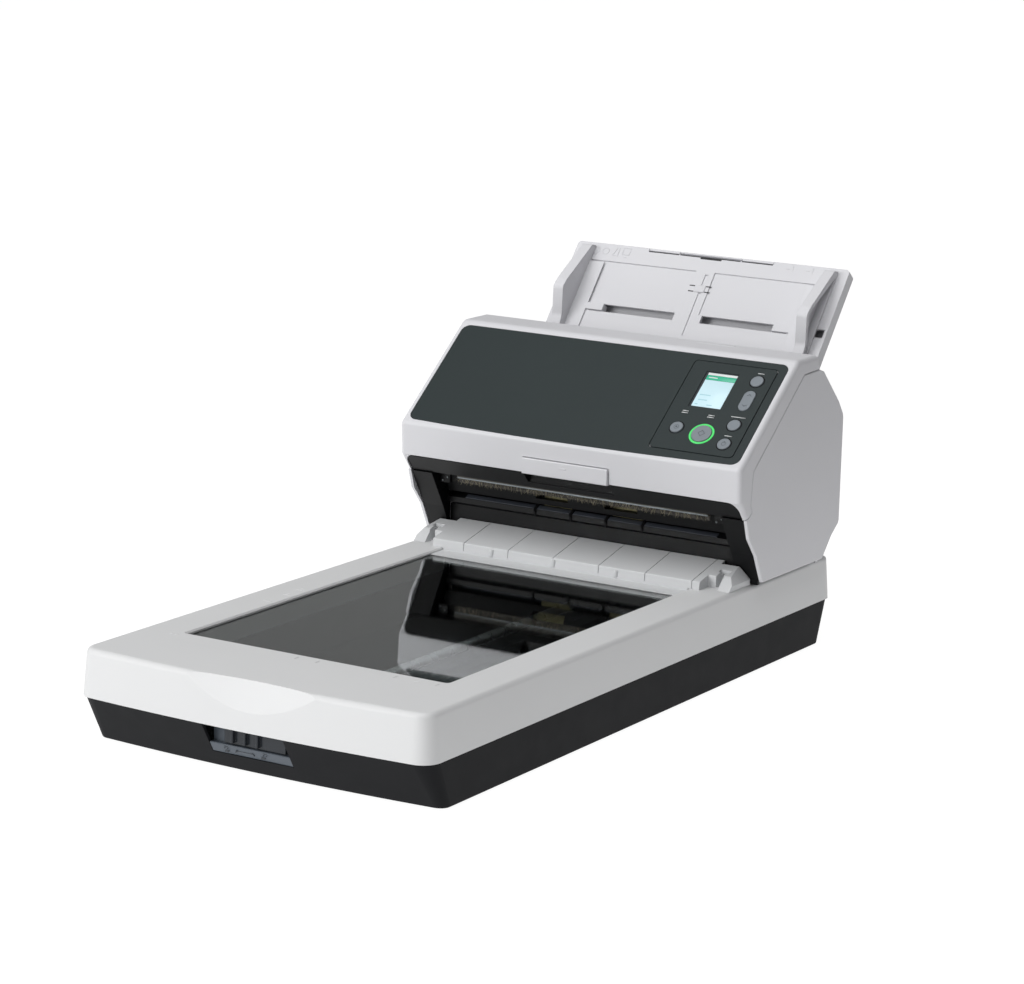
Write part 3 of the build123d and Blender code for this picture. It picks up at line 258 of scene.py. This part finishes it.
def moulded_block(name, size, where, material, body, broken=0.2 * mm):
    """A block sized in edit mode, with broken edges, put in its place and tied to its body."""
    bpy.ops.object.select_all(action="DESELECT")
    bpy.ops.mesh.primitive_cube_add(size=1.0)
    block = bpy.context.object
    block.name = name
    bpy.ops.object.mode_set(mode="EDIT")
    bpy.ops.mesh.select_all(action="SELECT")
    bpy.ops.transform.resize(value=size)
    bpy.ops.object.mode_set(mode="OBJECT")
    edges = block.modifiers.new("broken_edges", "BEVEL")
    edges.width = min(broken, 0.3 * min(size))
    edges.segments = 2
    bpy.ops.object.modifier_apply(modifier="broken_edges")
    fit_in_place(block, where, material, body)
    return block


def fit_in_place(piece, where, material, body):
    """Puts a finished piece in its place in its mesh, gives it its material and ties it to its body."""
    bpy.ops.object.select_all(action="DESELECT")
    piece.select_set(True)
    bpy.context.view_layer.objects.active = piece
    piece.matrix_world = where
    bpy.ops.object.transform_apply(location=True, rotation=True, scale=True)
    bpy.ops.object.shade_smooth_by_angle(angle=radians(30))
    piece.data.materials.clear()
    piece.data.materials.append(material)
    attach(piece, body)


front = cad_low[1] * 1000


def at(x, from_front, height):
    """A place given across the width, behind the bed's foremost point and above the desk."""
    return Matrix.Translation((x * mm, (front + from_front) * mm, height * mm))


# The glass lies on a black frame, and a white strip at its rear end calibrates the sensor.
glass_low, glass_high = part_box("platen_glass")
glass_middle = 0.5 * (glass_low[1] + glass_high[1]) / mm - front
glass_half = 0.5 * (glass_high[1] - glass_low[1]) / mm
frame_level = glass_low[2] / mm - 0.3
frame_width = 0.222
frame_side = 110
strip_thick = 0.0004
strip_edge = 0.05 * mm
calibration_white = moulded_plastic("calibration_white", (0.75, 0.78, 0.78), roughness=0.5)
frame_black = moulded_plastic("frame_black", (0.012, 0.013, 0.014), roughness=0.6)
moulded_block("calibration_strip", (frame_width, 0.011, strip_thick),
              at(0, glass_middle + glass_half - 8, frame_level), calibration_white, "base", broken=strip_edge)
moulded_block("glass_frame_front", (frame_width, 0.006, strip_thick),
              at(0, glass_middle - glass_half + 6, frame_level), frame_black, "base", broken=strip_edge)
for side, name in ((-1, "glass_frame_left"), (1, "glass_frame_right")):
    moulded_block(name, (0.004, 2 * glass_half * mm - 0.03, strip_thick),
                  at(side * frame_side, glass_middle, frame_level), frame_black, "base", broken=strip_edge)

# ------------------------------------------------------------------ size marks on the deck
# Faint raised dashes beside the glass show where the corners of the common sheet sizes come. They are
# moulded with the deck.
deck_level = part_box("upper_case")[1][2] / mm
dash_height = 0.0005
mark_edge = 0.1 * mm
for number, (x, y, wide, deep) in enumerate([
        (-113.5, 75, 7, 0.5), (-116.5, 190, 7, 0.5), (-116.5, 213.6, 7, 0.5), (-118, 218, 3, 0.5),
        (-116.5, 231.3, 7, 0.5), (-118, 236, 3, 0.5), (9.4, 73, 0.5, 5), (-8, 73, 0.5, 5), (72.9, 73, 0.5, 5),
        (91, 72, 4, 0.5), (106.3, 73, 0.5, 5)]):
    moulded_block(f"deck_mark_{number}", (wide * mm, deep * mm, dash_height), at(x, y, deck_level),
                  deck_white, "base", broken=mark_edge)

# ------------------------------------------------------------------ ramp ribs
# Upright half-round ribs stiffen the ramp's front wall. They are moulded with the ramp.
rib_radius = 0.0021
rib_height = 0.0056
rib_rounding = 0.0009
ramp_wall = 411.9
rib_level = 71.4
for number, x in enumerate((-64.4, -8.9, 46.4)):
    bpy.ops.object.select_all(action="DESELECT")
    bpy.ops.mesh.primitive_cylinder_add(vertices=20, radius=rib_radius, depth=rib_height)
    rib = bpy.context.object
    rib.name = f"ramp_rib_{number}"
    rounded = rib.modifiers.new("rounded_end", "BEVEL")
    rounded.width = rib_rounding
    rounded.segments = 3
    rounded.limit_method = "ANGLE"
    bpy.ops.object.modifier_apply(modifier="rounded_end")
    fit_in_place(rib, at(x, ramp_wall, rib_level), ramp_grey, "base")

# ------------------------------------------------------------------ operator panel
# The panel's plane, found from the display's middle. Everything printed or pressed on it is placed on
# this plane: across the width, up the slope and out of it.
panel_slope = radians(38.5)
screen_spot = (94.5, 68.0)
screen_low, screen_high = (Vector(corner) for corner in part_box("lcd_screen"))
panel_plane = (Matrix.Translation((screen_low + screen_high) / 2) @ Matrix.Rotation(panel_slope, 4, "X")
               @ Matrix.Translation((-screen_spot[0] * mm, -screen_spot[1] * mm, 0.00195)))


def on_panel(x, up, out):
    return panel_plane @ Matrix.Translation((x * mm, up * mm, out * mm))


def lit(name, colour, strength):
    """A lit part: its own colour with some light of its own."""
    glow = bpy.data.materials.new(name)
    glow.use_nodes = True
    shader = glow.node_tree.nodes["Principled BSDF"]
    shader.inputs["Base Color"].default_value = (*colour, 1)
    shader.inputs["Roughness"].default_value = 0.25
    shader.inputs["Emission Color"].default_value = (*colour, 1)
    shader.inputs["Emission Strength"].default_value = strength
    return glow


# The display is a colour panel behind a flush window. Its picture is plain: a green heading, a pale field,
# and short bars that stand for words.
display_rim = lit("display_rim", (0.02, 0.025, 0.03), 0.0)
finish_nodes(display_rim, "lcd_screen")
display_field = lit("display_field", (0.50, 0.68, 0.74), 0.24)
display_heading = lit("display_heading", (0.04, 0.36, 0.22), 0.3)
display_status = lit("display_status", (0.55, 0.58, 0.58), 0.3)
display_ink = lit("display_ink", (0.30, 0.50, 0.56), 0.3)
picture_x = 95.2
picture_width = 0.0248
picture_thick = 0.0002
picture_level = -0.42
ink_level = -0.27
print_edge = 0.02 * mm
for name, up, high, material in (("display_field", 64.2, 0.0270, display_field),
                                 ("display_heading", 80.2, 0.0046, display_heading),
                                 ("display_status", 83.8, 0.0022, display_status)):
    moulded_block(name, (picture_width, high, picture_thick), on_panel(picture_x, up, picture_level),
                  material, "cover")
for number, (x, up, wide, ink) in enumerate([
        (89.5, 62.5, 9, display_ink), (89.5, 57.5, 7.5, display_ink), (86.0, 53.0, 2.4, display_ink),
        (97.0, 53.0, 4.4, display_ink), (88.5, 80.2, 7.5, display_status)]):
    moulded_block(f"display_bar_{number}", (wide * mm, 0.0009, 0.0001), on_panel(x, up, ink_level), ink,
                  "cover", broken=print_edge)

# A translucent ring glows green round the scan button.
lit_ring = lit("lit_ring", (0.07, 0.60, 0.14), 0.35)
finish_nodes(lit_ring, "status_ring")


def flat_ring(name, radius, thick, where, material, body):
    """A thin ring with a flattened round section."""
    bpy.ops.object.select_all(action="DESELECT")
    bpy.ops.mesh.primitive_torus_add(major_radius=radius * mm, minor_radius=thick * mm, major_segments=48,
                                     minor_segments=8)
    ring = bpy.context.object
    ring.name = name
    bpy.ops.object.mode_set(mode="EDIT")
    bpy.ops.mesh.select_all(action="SELECT")
    bpy.ops.transform.resize(value=(1, 1, 0.4))
    bpy.ops.object.mode_set(mode="OBJECT")
    fit_in_place(ring, where, material, body)
    return ring


# Each round button but the scan button has a dark ring of painted shade, standing for the shaded edge of
# its countersunk hole. Plain white bars stand above the buttons, and each row of marks says how far above
# and how wide.
hole_shade = moulded_plastic("hole_shade", (0.004, 0.004, 0.005), roughness=0.6, shine=0.2)
panel_white = moulded_plastic("panel_white", (0.72, 0.74, 0.74), roughness=0.5)
symbol_grey = moulded_plastic("symbol_grey", (0.09, 0.105, 0.12), roughness=0.5)
hole_radius = 5.75
for name, x, up, reach, marks in (("menu", 125.3, 81.6, 8.2, [(0, 5.6)]),
                                  ("manual_feed", 125.7, 36.8, 8.2, [(0, 12.0)]),
                                  ("power", 125.7, 17.8, 8.2, [(0, 6.2)]),
                                  ("stop", 81.2, 27.6, 15.2, [(0, 5.4), (1.9, 5.0)]),
                                  ("scan", 103.8, 24.6, 16.8, [(0, 6.0), (1.9, 5.4)])):
    if name != "scan":
        flat_ring(f"{name}_hole_shade_ring", hole_radius, 0.4, on_panel(x, up, 0.02), hole_shade, "cover")
    for number, (step, wide) in enumerate(marks):
        moulded_block(f"{name}_mark_{number}", (wide * mm, 0.0008, 0.00008),
                      on_panel(x, up + reach + step, 0.03), panel_white, "cover", broken=print_edge)

# The buttons' own symbols are raised by a hair: a ring with a bar for power, a ring round a square for stop,
# a diamond for scan, and an arrowhead at each end of the rocker.
symbol_thick = 0.0001
ring_level = 0.9
symbol_level = 0.93
flat_ring("power_symbol_ring", 1.7, 0.18, on_panel(125.7, 17.6, ring_level), symbol_grey, "power")
moulded_block("power_symbol_bar", (0.0004, 0.0018, symbol_thick), on_panel(125.7, 19.2, symbol_level),
              symbol_grey, "power", broken=print_edge)
flat_ring("stop_symbol_ring", 1.9, 0.18, on_panel(81.2, 27.6, ring_level), symbol_grey, "stop")
moulded_block("stop_symbol_square", (0.0013, 0.0013, symbol_thick), on_panel(81.2, 27.6, symbol_level),
              symbol_grey, "stop", broken=print_edge)
for number in range(4):
    corner = Matrix.Rotation(number * pi / 2, 4, "Z") @ Matrix.Translation((0.0019, 0, 0))
    side = Matrix.Rotation(pi / 4, 4, "Z") @ corner
    moulded_block(f"scan_symbol_side_{number}", (0.00035, 0.0041, symbol_thick),
                  on_panel(103.8, 24.6, symbol_level) @ side, symbol_grey, "scan", broken=print_edge)
rocker_x = 125.6
arrow_step = 0.9
for number, (side, up, turn) in enumerate(((1, 66.8, -1), (-1, 66.8, 1), (1, 56.4, 1), (-1, 56.4, -1))):
    tilt = Matrix.Rotation(turn * radians(35), 4, "Z")
    moulded_block(f"rocker_arrow_{number}", (0.0024, 0.0004, symbol_thick),
                  on_panel(rocker_x + side * arrow_step, up, symbol_level) @ tilt, symbol_grey, "scroll",
                  broken=print_edge)

# ------------------------------------------------------------------ exit brush
# A strip of conductive fibres takes the charge off the sheets as they leave. A steel strip clamps the fibres
# under the cover, and they hang into the exit round the strip's core, pale and dark ones mixed.
brush_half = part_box("brush_strip")[1][0] / mm
fibre_dark = moulded_plastic("fibre_dark", (0.09, 0.083, 0.072), roughness=0.5)
fibre_pale = moulded_plastic("fibre_pale", (0.50, 0.44, 0.30), roughness=0.45)
finish_nodes(fibre_dark, "brush_strip")
clamp_steel = turned_steel("clamp_steel", (0.22, 0.24, 0.25), 0.4)
moulded_block("brush_clamp", (2 * brush_half * mm, 0.0006, 0.0013), at(0, 433.6, 121.0), clamp_steel, "cover")
strand_length = 0.0062
chance = Random(7)
for shade, material, count in (("dark", fibre_dark, 460), ("pale", fibre_pale, 260)):
    bpy.ops.object.select_all(action="DESELECT")
    bpy.ops.mesh.primitive_cone_add(vertices=4, radius1=0.00006, radius2=0.00015,
                                    depth=strand_length)
    first = bpy.context.object
    bpy.ops.object.mode_set(mode="EDIT")
    bpy.ops.mesh.select_all(action="SELECT")
    bpy.ops.transform.translate(value=(0, 0, -strand_length / 2))
    bpy.ops.object.mode_set(mode="OBJECT")
    strands = [first]
    for number in range(count):
        strand = bpy.data.objects.new("strand", first.data.copy())
        bpy.context.collection.objects.link(strand)
        root = at(chance.uniform(-brush_half + 0.5, brush_half - 0.5), chance.uniform(433.8, 437.4),
                  chance.uniform(121.2, 122.6))
        lean = (Matrix.Rotation(chance.uniform(-0.75, 0.75), 4, "Y")
                @ Matrix.Rotation(chance.uniform(-0.35, 0.20), 4, "X"))
        strand.matrix_world = root @ lean
        strands.append(strand)
    first.matrix_world = at(0, 436, 122)
    bpy.ops.object.select_all(action="DESELECT")
    for strand in strands:
        strand.select_set(True)
    bpy.context.view_layer.objects.active = first
    bpy.ops.object.join()
    first.name = f"brush_fibres_{shade}"
    place = first.matrix_world.copy()
    fit_in_place(first, place, material, "cover")

# Small black brackets with two steel rivets each hold the ends of the clamp.
bracket_side = 121.5
rivet_radius = 0.0009
for side, name in ((-1, "left"), (1, "right")):
    moulded_block(f"brush_bracket_{name}", (0.0085, 0.003, 0.0075), at(side * bracket_side, 434.0, 119.6),
                  guide_black, "cover")
    for number, (dx, dz) in enumerate(((-2.2, -1.4), (2.2, 1.2))):
        bpy.ops.object.select_all(action="DESELECT")
        bpy.ops.mesh.primitive_uv_sphere_add(segments=16, ring_count=8, radius=rivet_radius)
        rivet = bpy.context.object
        rivet.name = f"brush_rivet_{name}_{number}"
        fit_in_place(rivet, at(side * bracket_side + dx, 432.3, 119.0 + dz), clamp_steel, "cover")

# ------------------------------------------------------------------ exit shelf
# Between the fins, the black shelf that carries the sheet over the lip of the lower guide catches the light,
# and the lighter blue-grey strips there are painted sheen.
shelf_painted_sheen = moulded_plastic("shelf_painted_sheen", (0.040, 0.045, 0.056), roughness=0.38)
shelf_tilt = Matrix.Rotation(radians(26), 4, "X")
shelf_place = 449.4
shelf_level = 103.2
for number, (left, right) in enumerate([(-112, -49.2), (-46.2, -17.2), (-14.2, 14.2), (17.2, 46.2),
                                        (49.2, 112)]):
    moulded_block(f"shelf_sheen_strip_{number}", ((right - left) * mm, 0.0046, 0.0008),
                  at((left + right) / 2, shelf_place, shelf_level) @ shelf_tilt, shelf_painted_sheen, "base")

# ------------------------------------------------------------------ release tab and cover marks
# A short raised bar in the middle of the tab and a shallow pad on the cover's top are moulded in.
tab_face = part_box("release_tab")[0][1] / mm - front
moulded_block("tab_mark", (0.0054, 0.0003, 0.0011), at(-1.1, tab_face + 0.02, 145.8), light_grey,
              "tab", broken=mark_edge)
moulded_block("cover_pad", (0.032, 0.0052, 0.0010), at(66, 522, 233.7), light_grey, "cover", broken=0.5 * mm)

# ------------------------------------------------------------------ paper chute
# The chute's plane, found from the middle of its rear plate.
chute_slope = radians(51)
back_low, back_high = (Vector(corner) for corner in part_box("chute_back"))
chute_plane = (Matrix.Translation((back_low + back_high) / 2) @ Matrix.Rotation(chute_slope, 4, "X")
               @ Matrix.Translation((0, -0.005, 0.01025)))


def on_chute(x, up, out):
    return chute_plane @ Matrix.Translation((x * mm, up * mm, out * mm))


# A moulded clip crosses the groove in the middle of the chute, with two slots on each side. The slots are
# dark blocks of painted shade.
on_face = 0.02
moulded_block("chute_clip", (0.0095, 0.0066, 0.0016), on_chute(1.2, 25.0, -0.1), light_grey, "base",
              broken=0.6 * mm)
gap_painted_shade = moulded_plastic("gap_painted_shade", (0.03, 0.03, 0.033), roughness=0.6)
for number, (x, up) in enumerate([(-6.4, 27.4), (8.6, 27.6), (-6.0, 22.2), (8.6, 22.4)]):
    moulded_block(f"chute_slot_shade_{number}", (0.0048, 0.0009, 0.0003), on_chute(x, up, on_face), gap_painted_shade,
                  "base", broken=mark_edge)

# The two extensions' lips end along the tray's upper edge. The shaded gap at their lower edge is painted as a
# fine dark line, and a small notch in the middle as a dark block of painted shade.
for number, (left, right) in enumerate([(-56.4, -28.6), (-27.4, 27.4), (28.6, 56.4)]):
    moulded_block(f"lip_gap_shade_{number}", ((right - left) * mm, 0.0007, 0.0002),
                  on_chute((left + right) / 2, 53.9, on_face), gap_painted_shade, "base", broken=strip_edge)
moulded_block("lip_notch_shade", (0.019, 0.0014, 0.0002), on_chute(1.0, 52.9, on_face), gap_painted_shade, "base",
              broken=strip_edge)

# Raised outlines at the upper left show how sheets are laid, and two fine marks at the upper right show
# common sheet widths.
flat_ring("load_symbol_ring_0", 3.0, 0.22, on_chute(-103.9, 50.0, on_face), light_grey, "base")
flat_ring("load_symbol_ring_1", 3.0, 0.22, on_chute(-95.1, 50.0, on_face), light_grey, "base")
for number, (x, up, wide, high, turn) in enumerate([
        (-86.5, 50.6, 0.5, 8.0, -0.35), (-83.2, 50.2, 0.5, 8.0, 0), (-85.0, 46.6, 4.4, 0.5, 0),
        (-79.4, 51.4, 0.5, 6.4, 0), (-73.0, 51.4, 0.5, 6.4, 0), (-76.2, 54.4, 6.4, 0.5, 0),
        (-76.2, 48.4, 6.4, 0.5, 0), (-76.2, 46.2, 3.4, 0.5, 0), (74.8, 52.4, 0.5, 5.6, 0),
        (92.4, 52.4, 0.5, 5.6, 0), (70.6, 51.8, 3.6, 0.5, 0), (88.2, 51.8, 3.6, 0.5, 0)]):
    moulded_block(f"chute_mark_{number}", (wide * mm, high * mm, 0.0004),
                  on_chute(x, up, on_face) @ Matrix.Rotation(turn, 4, "Z"), light_grey, "base",
                  broken=mark_edge)

# ------------------------------------------------------------------ transport lock marks
# A closed padlock, a double arrow and an open padlock are raised on the shelf under the slider.
mark_grey = moulded_plastic("lock_mark", (0.035, 0.042, 0.052), roughness=0.5)
shelf_lean = Matrix.Rotation(radians(-31), 4, "X")
shelf_front = 10.75
shelf_top = 20.6
shelf_run = 0.606
arrow_level = 17.0


def on_lock_shelf(x, height):
    """A place on the sloping face under the slider."""
    return at(x, shelf_front + (shelf_top - height) * shelf_run + on_face, height) @ shelf_lean


for number, (x, height, wide, high) in enumerate([
        (-21.4, 16.0, 3.2, 2.6), (-22.6, 18.2, 0.5, 2.0), (-20.2, 18.2, 0.5, 2.0), (-21.4, 19.2, 2.9, 0.5),
        (8.4, 16.0, 3.2, 2.6), (9.6, 18.4, 0.5, 2.4), (12.0, 18.4, 0.5, 2.0), (10.8, 19.4, 2.9, 0.5),
        (-6.6, arrow_level, 15.0, 0.6)]):
    moulded_block(f"lock_mark_{number}", (wide * mm, 0.0004, high * mm), on_lock_shelf(x, height), mark_grey,
                  "base", broken=strip_edge)
for number, (x, turn) in enumerate(((-13.4, 0.6), (-13.4, -0.6), (0.2, 0.6), (0.2, -0.6))):
    lift = 0.7 if (turn > 0) == (x > -5) else -0.7
    moulded_block(f"lock_arrow_{number}", (0.0027, 0.0004, 0.0006),
                  on_lock_shelf(x, arrow_level - lift) @ Matrix.Rotation(turn, 4, "Y"), mark_grey, "base",
                  broken=strip_edge)
